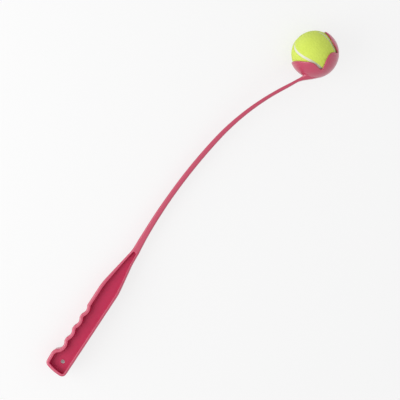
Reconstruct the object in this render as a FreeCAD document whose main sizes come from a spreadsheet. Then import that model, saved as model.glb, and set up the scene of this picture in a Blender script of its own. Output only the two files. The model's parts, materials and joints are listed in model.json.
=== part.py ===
import FreeCAD, Part
import math
import os

import Sketcher
from BOPTools import SplitAPI
from FreeCAD import Placement, Rotation, Vector

# A dog ball launcher: one plastic moulding (grip, bowed arm, fingered cup) that holds a felt ball.
# Everything is drawn in the plan of the bend: X runs from the butt to the cup, Y is the side that the
# arm bows to, and Z is the normal of the bend, about which the object is symmetric. At the end every
# piece is laid down on the surface that the object rests on.

SIZES = [
    # ball
    ("ball_radius", 33.5),
    ("felt_thickness", 3.2),
    ("core_wall", 3.4),
    ("glue_gap", 0.15),
    ("seam_width", 3.2),
    ("seam_gap", 0.1),
    ("seam_sink", 0.7),
    ("seam_wave", 0.25),
    ("seam_yaw", -32.0),
    ("seam_pitch", 50.2),
    ("seam_spin", -133.3),
    # cup
    ("ball_clearance", 0.3),
    ("cup_wall", 2.3),
    ("cup_edge", 0.8),
    ("cup_bearing", 43.6),
    ("cup_lean", 110.2),
    # rim of the cup: turn goes round the opening from the arm's side, drop is the angle down from the
    # opening's axis
    ("tip_drop", 68.0),
    ("near_brow_turn", 36.0),
    ("near_brow_drop", 77.0),
    ("near_edge_turn", 54.0),
    ("near_edge_drop", 92.0),
    ("near_flank_turn", 65.0),
    ("near_flank_drop", 111.0),
    ("near_notch_turn", 65.0),
    ("near_notch_drop", 134.0),
    ("lobe_near_turn", 82.8),
    ("lobe_near_drop", 129.1),
    ("lobe_turn", 109.0),
    ("lobe_drop", 118.4),
    ("lobe_far_turn", 131.0),
    ("lobe_far_drop", 122.0),
    ("far_notch_turn", 149.0),
    ("far_notch_drop", 129.0),
    ("far_flank_turn", 143.5),
    ("far_flank_drop", 108.0),
    ("far_edge_turn", 146.5),
    ("far_edge_drop", 92.0),
    ("far_brow_turn", 157.0),
    ("far_brow_drop", 76.0),
    # neck
    ("neck_length", 4.8),
    ("neck_drop", 10.4),
    ("neck_sink", 1.0),
    ("neck_thick", 18.8),
    ("neck_wide", 22.0),
    ("neck_edge", 3.0),
    ("throat_thick", 7.0),
    ("throat_wide", 14.0),
    # bowed arm
    ("root_along", 207.0),
    ("root_out", 19.65),
    ("root_angle", 11.5),
    ("bow_radius", 828.0),
    ("bow_turn", 14.1),
    ("crook_radius", 362.0),
    ("crook_turn", 24.7),
    ("root_thick", 11.2),
    ("bow_start_thick", 9.3),
    ("bow_thick", 7.8),
    ("crook_thick", 7.3),
    ("crook_end_thick", 6.1),
    ("tip_thick", 4.9),
    ("root_wide", 15.0),
    ("tip_wide", 12.5),
    ("arm_edge", 2.3),
    # grip, in plan
    ("butt_along", -1.2),
    ("butt_back", 19.2),
    ("butt_front", 15.8),
    ("butt_bulge", 70.0),
    ("butt_round", 7.0),
    ("heel_along", 17.0),
    ("heel_out", 19.0),
    ("groove_along", 33.2),
    ("groove_floor", 11.9),
    ("groove_radius", 11.0),
    ("groove_depth", 2.7),
    ("groove_pitch", 20.4),
    ("groove_count", 4),
    ("crest_round", 4.8),
    ("finger_slope", 7.3),
    ("shoulder_along", 141.5),
    ("shoulder_round", 90.0),
    ("knee_along", 143.0),
    ("knee_back", 2.0),
    ("waist_run", 17.0),
    ("waist_out", 11.0),
    # grip, across
    ("grip_thick", 24.0),
    ("taper_along", 118.0),
    ("grip_edge", 2.3),
    ("rim_wide", 4.2),
    ("web_thick", 3.0),
    ("hang_along", 14.8),
    ("hang_back", 2.7),
    ("hang_radius", 3.0),
]

# A wall that cuts a shell starts and ends this share of the shell's radius inside and outside it.
WALL_REACH = 0.1
# Walls are ruled in so many spans, and the seam's line goes through so many points.
WALL_SPANS = 12
SEAM_POINTS = 48
# How near a normal is to an axis, as a cosine, and how near an edge is to a corner, in millimetres.
SQUARE = 0.999
FLAT = 0.9
NEAR = 1.0
TOUCH = 0.01
# The roll that the search for the resting pose starts from, in degrees, its steps, and how finely the
# moulding is sampled for it, in millimetres.
REST_ROLL = 30
REST_STEPS = 6
REST_MESH = 0.05

doc = FreeCAD.newDocument("ball_launcher")
sheet = doc.addObject("Spreadsheet::Sheet", "sizes")
for row, (name, number) in enumerate(SIZES, start=1):
    sheet.set(f"A{row}", name)
    sheet.set(f"B{row}", str(number))
    sheet.setAlias(f"B{row}", name)
doc.recompute()


def value(expression):
    """The number that an expression on the sheet's names has now."""
    return float(sheet.evalExpression(expression))


def angle(expression):
    return math.radians(value(expression))


def origin_plane(body, role):
    return next(f for f in body.Origin.OriginFeatures if f.Role == role)


def sketch_on(body, role, name):
    sketch = body.newObject("Sketcher::SketchObject", name)
    sketch.AttachmentSupport = [(origin_plane(body, role), "")]
    sketch.MapMode = "FlatFace"
    return sketch


class Outline:
    """Lines, arcs and circles in a sketch, whose corners are pairs of expressions."""

    def __init__(self, sketch):
        self.sketch = sketch

    def fix(self, expression, *constraint):
        place = self.sketch.addConstraint(Sketcher.Constraint(*constraint, value(expression)))
        self.sketch.setExpression(f"Constraints[{place}]", expression)

    def pin(self, edge, end, corner):
        for kind, expression in zip(("DistanceX", "DistanceY"), corner):
            self.fix(expression, kind, -1, 1, edge, end)

    def line(self, start, finish):
        ends = [Vector(value(x), value(y), 0) for x, y in (start, finish)]
        edge = self.sketch.addGeometry(Part.LineSegment(*ends), False)
        self.pin(edge, 1, start)
        self.pin(edge, 2, finish)

    def arc(self, start, finish, radius):
        """An arc that turns left, by less than half a turn, on its way from start to finish."""
        a, b = (Vector(value(x), value(y), 0) for x, y in (start, finish))
        half = (b - a) * 0.5
        left = Vector(-half.y, half.x, 0).normalize()
        depth = math.sqrt(value(radius) ** 2 - half.Length ** 2)
        middle = a + half + left * (depth - value(radius))
        edge = self.sketch.addGeometry(Part.Arc(a, middle, b), False)
        self.pin(edge, 1, start)
        self.pin(edge, 2, finish)
        self.fix(radius, "Radius", edge)

    def circle(self, centre, radius):
        at = Vector(*(value(part) for part in centre), 0)
        edge = self.sketch.addGeometry(Part.Circle(at, Vector(0, 0, 1), value(radius)), False)
        self.pin(edge, 3, centre)
        self.fix(radius, "Radius", edge)


def add(body, kind, name, profile=None, **expressions):
    """Adds a PartDesign feature to a body, with its profile and its sizes as expressions."""
    feature = body.newObject(f"PartDesign::{kind}", name)
    if profile is not None:
        feature.Profile = profile
    for size, expression in expressions.items():
        feature.setExpression(size, expression)
    return feature


def must_change(body, before, sign, name):
    """Stops the build if the body's last feature added or took nothing."""
    change = (body.Shape.Volume - before) * sign
    if change <= 0:
        raise RuntimeError(f"{name} changed nothing")


def round_edges(body, name, radius, wanted):
    """A fillet on those edges of the body's solid that the function wanted says yes to."""
    doc.recompute()
    tip = body.Tip
    names = [f"Edge{n}" for n, edge in enumerate(tip.Shape.Edges, start=1) if wanted(edge)]
    feature = add(body, "Fillet", name, Radius=radius)
    feature.Base = (tip, names)
    doc.recompute()
    return feature


def near(edge, corner):
    """Is this an upright edge that stands at a corner of the plan?"""
    at = [vertex.Point for vertex in edge.Vertexes]
    flat = Vector(value(corner[0]), value(corner[1]), 0)
    return len(at) == 2 and all(Vector(p.x, p.y, 0).distanceToPoint(flat) < NEAR for p in at)


# Places along the arm: its centre line is two arcs in a row, the bow and the crook, both turning down.
ROOT_BEND = "(sizes.root_angle - sizes.bow_turn)"
END_BEND = "(sizes.root_angle - sizes.bow_turn - sizes.crook_turn)"
BOW_X = "(sizes.root_along + sizes.bow_radius * (sin(sizes.root_angle) - sin({bend})))"
BOW_Y = "(sizes.root_out + sizes.bow_radius * (cos({bend}) - cos(sizes.root_angle)))"
CROOK_X = BOW_X.format(bend=ROOT_BEND) + f" + sizes.crook_radius * (sin({ROOT_BEND}) - sin({{bend}}))"
CROOK_Y = BOW_Y.format(bend=ROOT_BEND) + f" + sizes.crook_radius * (cos({{bend}}) - cos({ROOT_BEND}))"


def on_bow(share):
    """The centre and the bend of the arm at a share of the bow."""
    bend = f"(sizes.root_angle - sizes.bow_turn * {share})"
    return BOW_X.format(bend=bend), BOW_Y.format(bend=bend), bend


def on_crook(share):
    bend = f"({ROOT_BEND} - sizes.crook_turn * {share})"
    return CROOK_X.format(bend=bend), CROOK_Y.format(bend=bend), bend


END_X, END_Y, _ = on_crook(1)
CUP_OUTER = "(sizes.ball_radius + sizes.ball_clearance + sizes.cup_wall)"
CAVITY = "(sizes.ball_radius + sizes.ball_clearance)"
BEARING = f"({END_BEND} + sizes.cup_bearing)"
CUP_X = f"({END_X} + ({CUP_OUTER} + sizes.neck_length) * cos({BEARING}))"
CUP_Y = f"({END_Y} + ({CUP_OUTER} + sizes.neck_length) * sin({BEARING}))"

# Corners of the grip's plan. The line that the finger grooves follow leans by finger_slope, and the
# crests between them stand groove_depth above their floors.
CREST = "(sizes.groove_floor + sizes.groove_depth / cos(sizes.finger_slope)" \
        " + ({along} - sizes.groove_along) * tan(sizes.finger_slope))"
BUTT_BACK = ("sizes.butt_along", "-sizes.butt_back")
BUTT_FRONT = ("sizes.butt_along", "sizes.butt_front")
HEEL = ("sizes.heel_along", "sizes.heel_out")
FIRST_CREST = ("sizes.groove_along", CREST.format(along="sizes.groove_along"))
SHOULDER = ("sizes.shoulder_along", CREST.format(along="sizes.shoulder_along"))
KNEE = ("sizes.knee_along", "-sizes.knee_back")
WAIST = ("sizes.root_along - sizes.waist_run", "sizes.waist_out")
ROOT_BACK = (
    "sizes.root_along + sizes.root_thick / 2 * sin(sizes.root_angle)",
    "sizes.root_out - sizes.root_thick / 2 * cos(sizes.root_angle)",
)
ROOT_FRONT = (
    "sizes.root_along - sizes.root_thick / 2 * sin(sizes.root_angle)",
    "sizes.root_out + sizes.root_thick / 2 * cos(sizes.root_angle)",
)


def grip_block(body):
    """The plan of the grip, padded to its thickness, with the finger grooves cut across its front."""
    plan = sketch_on(body, "XY_Plane", "grip_plan")
    outline = Outline(plan)
    outline.arc(BUTT_FRONT, BUTT_BACK, "sizes.butt_bulge")
    corners = [BUTT_BACK, KNEE, WAIST, ROOT_BACK, ROOT_FRONT, SHOULDER, FIRST_CREST, HEEL, BUTT_FRONT]
    for start, finish in zip(corners, corners[1:]):
        outline.line(start, finish)
    pad = add(body, "Pad", "grip_pad", plan, Length="sizes.grip_thick")
    pad.SideType = "Symmetric"
    doc.recompute()

    before = body.Shape.Volume
    groove = sketch_on(body, "XY_Plane", "groove_plan")
    groove.AttachmentOffset = Placement(Vector(), Rotation(Vector(0, 0, 1), value("sizes.finger_slope")))
    groove.setExpression("AttachmentOffset.Rotation.Angle", "sizes.finger_slope")
    centre_y = "(sizes.groove_floor + sizes.groove_radius / cos(sizes.finger_slope))"
    along = f"sizes.groove_along * cos(sizes.finger_slope) + {centre_y} * sin(sizes.finger_slope)"
    above = f"{centre_y} * cos(sizes.finger_slope) - sizes.groove_along * sin(sizes.finger_slope)"
    Outline(groove).circle((along, above), "sizes.groove_radius")
    pocket = add(body, "Pocket", "finger_groove", groove, Length="sizes.grip_thick * 2")
    pocket.SideType = "Symmetric"
    doc.recompute()
    grooves = add(body, "LinearPattern", "finger_grooves",
                  Offset="sizes.groove_pitch", Occurrences="sizes.groove_count")
    grooves.Originals = [pocket]
    grooves.Direction = (groove, ["H_Axis"])
    grooves.Mode = "Spacing"
    body.Tip = grooves
    doc.recompute()
    must_change(body, before, -1, "finger_grooves")


def is_crest(edge):
    """Upright edges where a groove leaves the crest line, or where the first one meets the heel."""
    at = [vertex.Point for vertex in edge.Vertexes]
    if len(at) != 2 or abs(at[0].z - at[1].z) < value("sizes.grip_thick") / 2:
        return False
    first = value("sizes.groove_along - sizes.groove_radius")
    last = value("sizes.groove_along + sizes.groove_pitch * sizes.groove_count")
    return first < at[0].x < last and at[0].y > value("sizes.groove_floor")


def round_corners(body):
    corners = (BUTT_BACK, BUTT_FRONT, HEEL)
    round_edges(body, "butt_corners", "sizes.butt_round", lambda e: any(near(e, c) for c in corners))
    round_edges(body, "crests", "sizes.crest_round", is_crest)
    bends = (SHOULDER, KNEE, WAIST)
    round_edges(body, "shoulders", "sizes.shoulder_round", lambda e: any(near(e, c) for c in bends))


def taper_sides(body):
    """Takes both sides in by an ogee, so that the grip is as wide as the arm where the arm starts."""
    before = body.Shape.Volume
    side = sketch_on(body, "XZ_Plane", "side_profile")
    drop = "((sizes.grip_thick - sizes.root_wide) / 2)"
    run = "(sizes.root_along - sizes.root_thick / 2 - sizes.taper_along)"
    radius = f"({run} ^ 2 + {drop} ^ 2) / 4 / {drop}"
    start = ("sizes.taper_along", "sizes.grip_thick / 2")
    middle = (f"sizes.taper_along + {run} / 2", "(sizes.grip_thick + sizes.root_wide) / 4")
    finish = (f"sizes.taper_along + {run}", "sizes.root_wide / 2")
    low = ("sizes.root_along + sizes.root_thick", "sizes.root_wide / 2")
    high = ("sizes.root_along + sizes.root_thick", "sizes.grip_thick")
    above = ("sizes.taper_along", "sizes.grip_thick")
    outline = Outline(side)
    outline.arc(middle, start, radius)
    outline.arc(middle, finish, radius)
    for one, other in ((finish, low), (low, high), (high, above), (above, start)):
        outline.line(one, other)
    wedge = add(body, "Pocket", "side_taper", side, Length="sizes.root_along * 2")
    wedge.SideType = "Symmetric"
    doc.recompute()
    both = add(body, "Mirrored", "side_tapers")
    both.Originals = [wedge]
    both.MirrorPlane = (origin_plane(body, "XY_Plane"), [""])
    body.Tip = both
    doc.recompute()
    must_change(body, before, -1, "side_tapers")


def heading(bend):
    """The direction in the plan at an angle from the X axis."""
    return Vector(math.cos(angle(bend)), math.sin(angle(bend)), 0)


def round_rim(body):
    """Rounds the edges between the grip's two sides and its outline, up to the end that the arm leaves."""
    way = heading("sizes.root_angle")
    shape = body.Shape.copy()

    def is_rim(edge):
        middle = edge.valueAt((edge.FirstParameter + edge.LastParameter) / 2)
        faces = shape.ancestorsOfType(edge, Part.Face)
        normals = [face.normalAt(*face.Surface.parameter(middle)) for face in faces]
        flat = [n for n in normals if abs(n.z) > FLAT]
        upright = [n for n in normals if abs(n.z) < 1 - FLAT and n.dot(way) < SQUARE]
        return len(flat) == 1 and len(upright) == 1

    tip = body.Tip
    names = [f"Edge{n}" for n, edge in enumerate(shape.Edges, start=1) if is_rim(edge)]
    feature = add(body, "Fillet", "rim_edges", Radius="sizes.grip_edge")
    feature.Base = (tip, names)
    doc.recompute()


def open_tray(body, tray):
    """Empties both sides inside the rim and leaves the web that joins them."""
    before = body.Shape.Volume
    pocket = add(body, "Pocket", "tray", tray, Length="(sizes.grip_thick - sizes.web_thick) / 2")
    doc.recompute()
    both = add(body, "Mirrored", "trays")
    both.Originals = [pocket]
    both.MirrorPlane = (origin_plane(body, "XY_Plane"), [""])
    body.Tip = both
    doc.recompute()
    must_change(body, before, -1, "trays")
    before = body.Shape.Volume
    hole = sketch_on(body, "XY_Plane", "hang_hole_plan")
    Outline(hole).circle(("sizes.hang_along", "-sizes.hang_back"), "sizes.hang_radius")
    bore = add(body, "Pocket", "hang_hole", hole, Length="sizes.grip_thick")
    bore.SideType = "Symmetric"
    doc.recompute()
    must_change(body, before, -1, "hang_hole")


def section(body, name, centre_x, centre_y, bend, thick, wide, edge):
    """A rounded rectangle across the arm: its first axis lies in the plan, and its second is Z."""
    sketch = sketch_on(body, "XZ_Plane", name)
    turn = Rotation(Vector(0, 1, 0), value(f"{bend} + 90"))
    sketch.AttachmentOffset = Placement(Vector(value(centre_x), 0, -value(centre_y)), turn)
    sketch.setExpression("AttachmentOffset.Base.x", centre_x)
    sketch.setExpression("AttachmentOffset.Base.z", f"-({centre_y})")
    sketch.setExpression("AttachmentOffset.Rotation.Angle", f"{bend} + 90")
    high, out = f"(({thick}) / 2)", f"(({wide}) / 2)"
    outline = Outline(sketch)
    for side, top in ((1, 1), (-1, 1), (-1, -1), (1, -1)):
        lead = (f"{side} * {high}", f"{top} * ({out} - {edge})")
        trail = (f"{side} * ({high} - {edge})", f"{top} * {out}")
        if side * top > 0:
            outline.arc(lead, trail, edge)
            outline.line(trail, (f"-{side} * ({high} - {edge})", f"{top} * {out}"))
        else:
            outline.arc(trail, lead, edge)
            outline.line(lead, (f"{side} * {high}", f"-{top} * ({out} - {edge})"))
    return sketch


# The arm's thickness in the plan at shares of the bow's length and of the crook's.
BOW_STATIONS = {0.14: "bow_start_thick", 0.45: "bow_thick", 0.75: "bow_thick"}
CROOK_STATIONS = {0: "crook_thick", 0.33: "crook_end_thick", 0.66: "tip_thick", 1: "tip_thick"}
BOW_LENGTH = "sizes.bow_radius * sizes.bow_turn"
CROOK_LENGTH = "sizes.crook_radius * sizes.crook_turn"


def arm_stations():
    """Place, thickness and width of each section; the width falls evenly from the root to the tip."""
    for share, thick in BOW_STATIONS.items():
        yield on_bow(share), thick, f"{share} * {BOW_LENGTH}"
    for share, thick in CROOK_STATIONS.items():
        yield on_crook(share), thick, f"{BOW_LENGTH} + {share} * {CROOK_LENGTH}"


def end_face(body, way):
    """The name of the flat face that looks this way."""
    return next(f"Face{n}" for n, face in enumerate(body.Tip.Shape.Faces, start=1)
                if isinstance(face.Surface, Part.Plane) and face.normalAt(0, 0).dot(way) > SQUARE)


def loft_on(body, name, way, sections):
    """Lofts on from the body's end face through the sections."""
    before = body.Shape.Volume
    tip = body.Tip
    face = end_face(body, way)
    doc.recompute()
    loft = add(body, "AdditiveLoft", name, (tip, [face]))
    loft.Sections = sections
    doc.recompute()
    must_change(body, before, 1, name)


def sweep_arm(body):
    """The arm leaves the grip's end face and goes through its stations."""
    sections = []
    for number, (place, thick, along) in enumerate(arm_stations(), start=1):
        share = f"({along}) / ({BOW_LENGTH} + {CROOK_LENGTH})"
        wide = f"sizes.root_wide + (sizes.tip_wide - sizes.root_wide) * {share}"
        sections.append(section(body, f"arm_section_{number}", *place, f"sizes.{thick}", wide,
                                "sizes.arm_edge"))
    loft_on(body, "arm", heading("sizes.root_angle"), sections)


def flare_neck(body):
    """The neck opens from the arm's end into the wall of the cup, turned a little under its middle."""
    inward = f"({BEARING} + sizes.neck_drop)"
    seat = f"({CAVITY} - sizes.neck_sink)"
    seat_x, seat_y = f"({CUP_X} - {seat} * cos({inward}))", f"({CUP_Y} - {seat} * sin({inward}))"
    throat = (f"({END_X} + {seat_x}) / 2", f"({END_Y} + {seat_y}) / 2", f"(({END_BEND} + {inward}) / 2)")
    sections = [
        section(body, "throat_section", *throat, "sizes.throat_thick", "sizes.throat_wide", "sizes.arm_edge"),
        section(body, "neck_section", seat_x, seat_y, inward, "sizes.neck_thick", "sizes.neck_wide",
                "sizes.neck_edge"),
    ]
    loft_on(body, "neck", heading(END_BEND), sections)


def launcher_grip(body):
    grip_block(body)
    round_corners(body)
    full = body.Tip
    top = max(full.Shape.Faces, key=lambda f: f.CenterOfMass.z if isinstance(f.Surface, Part.Plane) else 0)
    top_name = next(f"Face{n}" for n, f in enumerate(full.Shape.Faces, start=1) if f.isSame(top))
    tray = body.newObject("PartDesign::SubShapeBinder", "tray_outline")
    tray.Support = [(full, top_name)]
    tray.Relative = False
    tray.MakeFace = True
    tray.setExpression("Offset", "-sizes.rim_wide")
    taper_sides(body)
    round_rim(body)
    open_tray(body, tray)
    sweep_arm(body)
    flare_neck(body)


OPENING = f"({END_BEND} + sizes.cup_lean)"


def from_opening(turn, drop):
    """A direction from the ball's centre: drop is the angle from the opening's axis, and turn goes round
    that axis, from the side of the arm towards +Z."""
    lean, turn, drop = angle(OPENING), angle(turn), angle(drop)
    axis = Vector(math.cos(lean), math.sin(lean), 0)
    to_arm = Vector(-math.sin(lean), math.cos(lean), 0)
    return axis * math.cos(drop) + (to_arm * math.cos(turn) + Vector(0, 0, math.sin(turn))) * math.sin(drop)


def radial_wall(loop, inner, outer):
    """A wall through a closed loop of directions, ruled from inside a shell to outside it, in several
    faces, so that no edge of the pieces that it cuts is a long one."""
    curve = Part.BSplineCurve()
    curve.interpolate(Points=loop, PeriodicFlag=True)
    first, last = curve.FirstParameter, curve.LastParameter
    stops = [first + (last - first) * step / WALL_SPANS for step in range(WALL_SPANS + 1)]
    faces = []
    for span in zip(stops, stops[1:]):
        edges = []
        for radius in (inner * (1 - WALL_REACH), outer * (1 + WALL_REACH)):
            arc = curve.copy()
            arc.segment(*span)
            arc.scale(Vector(), radius)
            edges.append(arc.toShape())
        faces.append(Part.makeRuledSurface(*edges))
    return Part.makeShell(faces)


def shell_piece(inner, outer, loops, inside, outside):
    """The piece of a spherical shell that holds the direction inside, once radial walls through the
    loops cut it. Outside is three directions that the piece doesn't hold, where the sphere's poles and
    its seam go: one pole, the middle of the seam, and the other pole is opposite the first."""
    pole, seam = outside
    shell = Part.makeSphere(outer).cut(Part.makeSphere(inner))
    shell.Placement = Placement(Vector(), Rotation(seam, Vector(), pole, "ZXY"))
    pieces = SplitAPI.slice(shell, [radial_wall(loop, inner, outer) for loop in loops], "Split").Solids
    middle = inside * ((inner + outer) / 2)
    return next(piece for piece in pieces if piece.isInside(middle, TOUCH, True))


def placed(name, shape):
    feature = doc.addObject("Part::Feature", name)
    feature.Shape = shape
    return feature


def cup_bowl():
    """The cup's wall: near finger, low lobe and far finger on each side, with a notch between them."""
    edge = ["near_brow", "near_edge", "near_flank", "near_notch", "lobe_near", "lobe", "lobe_far",
            "far_notch", "far_flank", "far_edge", "far_brow"]
    side = [from_opening(f"sizes.{part}_turn", f"sizes.{part}_drop") for part in edge]
    other = [Vector(d.x, d.y, -d.z) for d in reversed(side)]
    rim = [from_opening("0", "sizes.tip_drop"), *side, from_opening("180", "sizes.tip_drop"), *other]
    outside = Vector(0, 0, 1), from_opening("0", "0")
    wall = shell_piece(value(CAVITY), value(CUP_OUTER), [rim], from_opening("0", "180"), outside)
    rim_edges = [edge for face in wall.Faces if isinstance(face.Surface, Part.Sphere) for edge in face.Edges]
    bowl = placed("bowl", wall.makeFillet(value("sizes.cup_edge"), rim_edges))
    bowl.setExpression("Placement.Base.x", CUP_X)
    bowl.setExpression("Placement.Base.y", CUP_Y)
    return bowl


def launcher_moulding():
    body = doc.addObject("PartDesign::Body", "grip_and_arm")
    launcher_grip(body)
    joined = doc.addObject("Part::Fuse", "joined")
    joined.Base = body
    joined.Tool = cup_bowl()
    cavity = doc.addObject("Part::Sphere", "cavity")
    cavity.setExpression("Radius", CAVITY)
    cavity.setExpression("Placement.Base.x", CUP_X)
    cavity.setExpression("Placement.Base.y", CUP_Y)
    moulding = doc.addObject("Part::Cut", "launcher")
    moulding.Base = joined
    moulding.Tool = cavity
    doc.recompute()
    return moulding


def core_half(name):
    """Half of the rubber core, a bowl that is bonded to the other half at its flat rim."""
    body = doc.addObject("PartDesign::Body", name)
    outer = "(sizes.ball_radius - sizes.felt_thickness - sizes.glue_gap)"
    inner = f"({outer} - sizes.core_wall)"
    profile = sketch_on(body, "XZ_Plane", f"{name}_profile")
    outline = Outline(profile)
    outline.arc((outer, "0"), ("0", outer), outer)
    outline.arc((inner, "0"), ("0", inner), inner)
    outline.line((inner, "0"), (outer, "0"))
    outline.line(("0", inner), ("0", outer))
    turned = add(body, "Revolution", f"{name}_bowl", profile)
    turned.ReferenceAxis = (profile, ["V_Axis"])
    turned.Angle = 360
    doc.recompute()
    return body


def seam_line(aside):
    """The seam of the ball, moved aside along the sphere. On the unit sphere it is
    x = a cos t + b cos 3t, y = a sin t - b sin 3t, z = 2 sqrt(ab) sin 2t, where a + b = 1."""
    b = value("sizes.seam_wave")
    a = 1 - b
    c = 2 * math.sqrt(a * b)
    line = []
    for step in range(SEAM_POINTS):
        t = 2 * math.pi * step / SEAM_POINTS
        at = Vector(a * math.cos(t) + b * math.cos(3 * t), a * math.sin(t) - b * math.sin(3 * t),
                    c * math.sin(2 * t))
        way = Vector(-a * math.sin(t) - 3 * b * math.sin(3 * t), a * math.cos(t) - 3 * b * math.cos(3 * t),
                     2 * c * math.cos(2 * t))
        across = at.cross(way).normalize()
        line.append((at + across * (aside / value("sizes.ball_radius"))).normalize())
    return line


def felt_and_seam():
    """Two dog-bone panels of felt round the core, and the strip of rubber in the gap between them."""
    outer = value("sizes.ball_radius")
    inner = value("sizes.ball_radius - sizes.felt_thickness")
    strip = value("sizes.seam_width / 2")
    edge = value("sizes.seam_width / 2 + sizes.seam_gap")
    up, down = Vector(0, 0, 1), Vector(0, 0, -1)
    inside_b, inside_a = Vector(1, 1, 0), Vector(1, -1, 0)
    panel_a = shell_piece(inner, outer, [seam_line(edge)], up, (inside_b, down))
    panel_b = shell_piece(inner, outer, [seam_line(-edge)], down, (inside_a, up))
    low = value("sizes.ball_radius - sizes.seam_sink")
    strip = shell_piece(inner, low, [seam_line(strip), seam_line(-strip)], seam_line(0)[0], (inside_b, down))
    named = zip(("felt_panel_a", "felt_panel_b", "ball_seam"), (panel_a, panel_b, strip))
    turned = Rotation(value("sizes.seam_yaw"), value("sizes.seam_pitch"), value("sizes.seam_spin"))
    return [placed(name, shape) for name, shape in named], turned


def lie_down(moulding, ball_centre):
    """The turn that lays the launcher on the three places that it rests on, on the side that the arm
    bows to: the ball, the heel of the grip and the shoulder behind the finger grooves. The plane through
    their lowest points is turned level until it stays so, and then the grip's heading is turned to X."""
    points = moulding.Shape.tessellate(REST_MESH)[0]
    heel = [p for p in points if p.x < value("sizes.groove_along")]
    shoulder = [p for p in points if value("sizes.taper_along") < p.x < value("sizes.root_along")]
    turn = Rotation(Vector(1, 0, 0), -REST_ROLL)
    for _ in range(REST_STEPS):
        under_ball = turn.multVec(ball_centre) - Vector(0, 0, value("sizes.ball_radius"))
        under_heel, under_shoulder = (min((turn.multVec(p) for p in group), key=lambda p: p.z)
                                      for group in (heel, shoulder))
        normal = (under_shoulder - under_ball).cross(under_heel - under_ball)
        turn = Rotation(normal, Vector(0, 0, 1)).multiply(turn)
    heading = turn.multVec(Vector(1, 0, 0))
    level = Rotation(Vector(0, 0, 1), -math.degrees(math.atan2(heading.y, heading.x)))
    return level.multiply(turn)


moulding = launcher_moulding()
core = [core_half("core_half_a"), core_half("core_half_b")]
cover, seam_turn = felt_and_seam()
ball_centre = Vector(value(CUP_X), value(CUP_Y), 0)
lie = Placement(Vector(), lie_down(moulding, ball_centre))
over = Rotation(Vector(1, 0, 0), 180)
parts = [moulding, *core, *cover]
moulding.Placement = lie
for part, spin in zip(core + cover, (Rotation(), over, seam_turn, seam_turn, seam_turn)):
    part.Placement = lie.multiply(Placement(ball_centre, spin))
doc.recompute()


def whole_box():
    box = FreeCAD.BoundBox()
    for part in parts:
        box.add(part.Shape.optimalBoundingBox(False))
    return box


box = whole_box()
shift = Placement(Vector(-box.Center.x, -box.Center.y, -box.ZMin), Rotation())
for part in parts:
    part.Placement = shift.multiply(part.Placement)
doc.recompute()

failed = [o.Name for o in doc.Objects if {"Invalid", "Error"} & set(o.State)]
if failed:
    raise RuntimeError(f"features that failed: {failed}")
for part in parts:
    if part.Shape.isNull() or not part.Shape.isValid():
        raise RuntimeError(f"{part.Label} has no valid shape")

os.makedirs("parts", exist_ok=True)
for part in parts:
    part.Shape.exportStep(f"parts/{part.Label}.step")
    print(f"{part.Label}: {len(part.Shape.Solids)} solid, {part.Shape.Volume / 1000:.2f} cm3")
box = whole_box()
print(f"overall {box.XLength:.1f} x {box.YLength:.1f} x {box.ZLength:.1f} mm")
frame = moulding.Placement
marks = {
    "ball centre": frame.multVec(ball_centre),
    "opening's axis": frame.Rotation.multVec(from_opening("0", "0")),
    "hang hole": frame.multVec(Vector(value("sizes.hang_along"), -value("sizes.hang_back"), 0)),
    "hang hole's axis": frame.Rotation.multVec(Vector(0, 0, 1)),
    "grip's heading": frame.Rotation.multVec(Vector(1, 0, 0)),
}
for name, mark in marks.items():
    print(f"{name}: {mark.x:.6f}, {mark.y:.6f}, {mark.z:.6f}")
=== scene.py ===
# %% [markdown]
# A dog ball launcher: one crimson plastic moulding with a grip, a long bowed arm and a fingered cup that
# holds a felt ball. The lesson starts by loading the engineering model as a fixed frame. Everything that
# is made here is placed from that frame, so nothing has to be fitted by eye afterwards.

# %% Load the frame
import json
import math

import bmesh
import bpy
import numpy as np
from mathutils import Matrix, Vector


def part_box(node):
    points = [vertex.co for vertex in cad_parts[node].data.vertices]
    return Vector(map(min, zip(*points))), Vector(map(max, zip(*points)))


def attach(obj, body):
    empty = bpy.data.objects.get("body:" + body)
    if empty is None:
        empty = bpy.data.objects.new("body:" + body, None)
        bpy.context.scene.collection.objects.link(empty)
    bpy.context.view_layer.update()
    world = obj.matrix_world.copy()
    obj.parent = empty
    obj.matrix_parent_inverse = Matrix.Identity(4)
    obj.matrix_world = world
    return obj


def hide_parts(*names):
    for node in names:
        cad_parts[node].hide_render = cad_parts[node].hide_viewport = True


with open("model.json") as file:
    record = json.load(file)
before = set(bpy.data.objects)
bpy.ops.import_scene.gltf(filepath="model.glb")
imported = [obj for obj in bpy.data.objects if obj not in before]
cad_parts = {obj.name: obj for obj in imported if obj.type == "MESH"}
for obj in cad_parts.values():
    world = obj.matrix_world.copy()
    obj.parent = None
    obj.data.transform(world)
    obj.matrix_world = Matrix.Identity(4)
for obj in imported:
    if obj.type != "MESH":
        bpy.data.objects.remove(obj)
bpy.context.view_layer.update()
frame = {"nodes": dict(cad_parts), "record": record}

MM = 0.001
print("nodes:", sorted(frame["nodes"]))

# %% [markdown]
# The launcher is drawn in the plane in which its arm bends, which is how such a moulding is designed: one
# axis along the grip, one across it, and one square to the bend. On a table it rests on its ball and on
# two places of its grip, rolled to one side, so that plane isn't level. The hang hole is bored square to
# the plane, so its axis and its place tell how the plane lies. The grip heads square to the frame's y.

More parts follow.
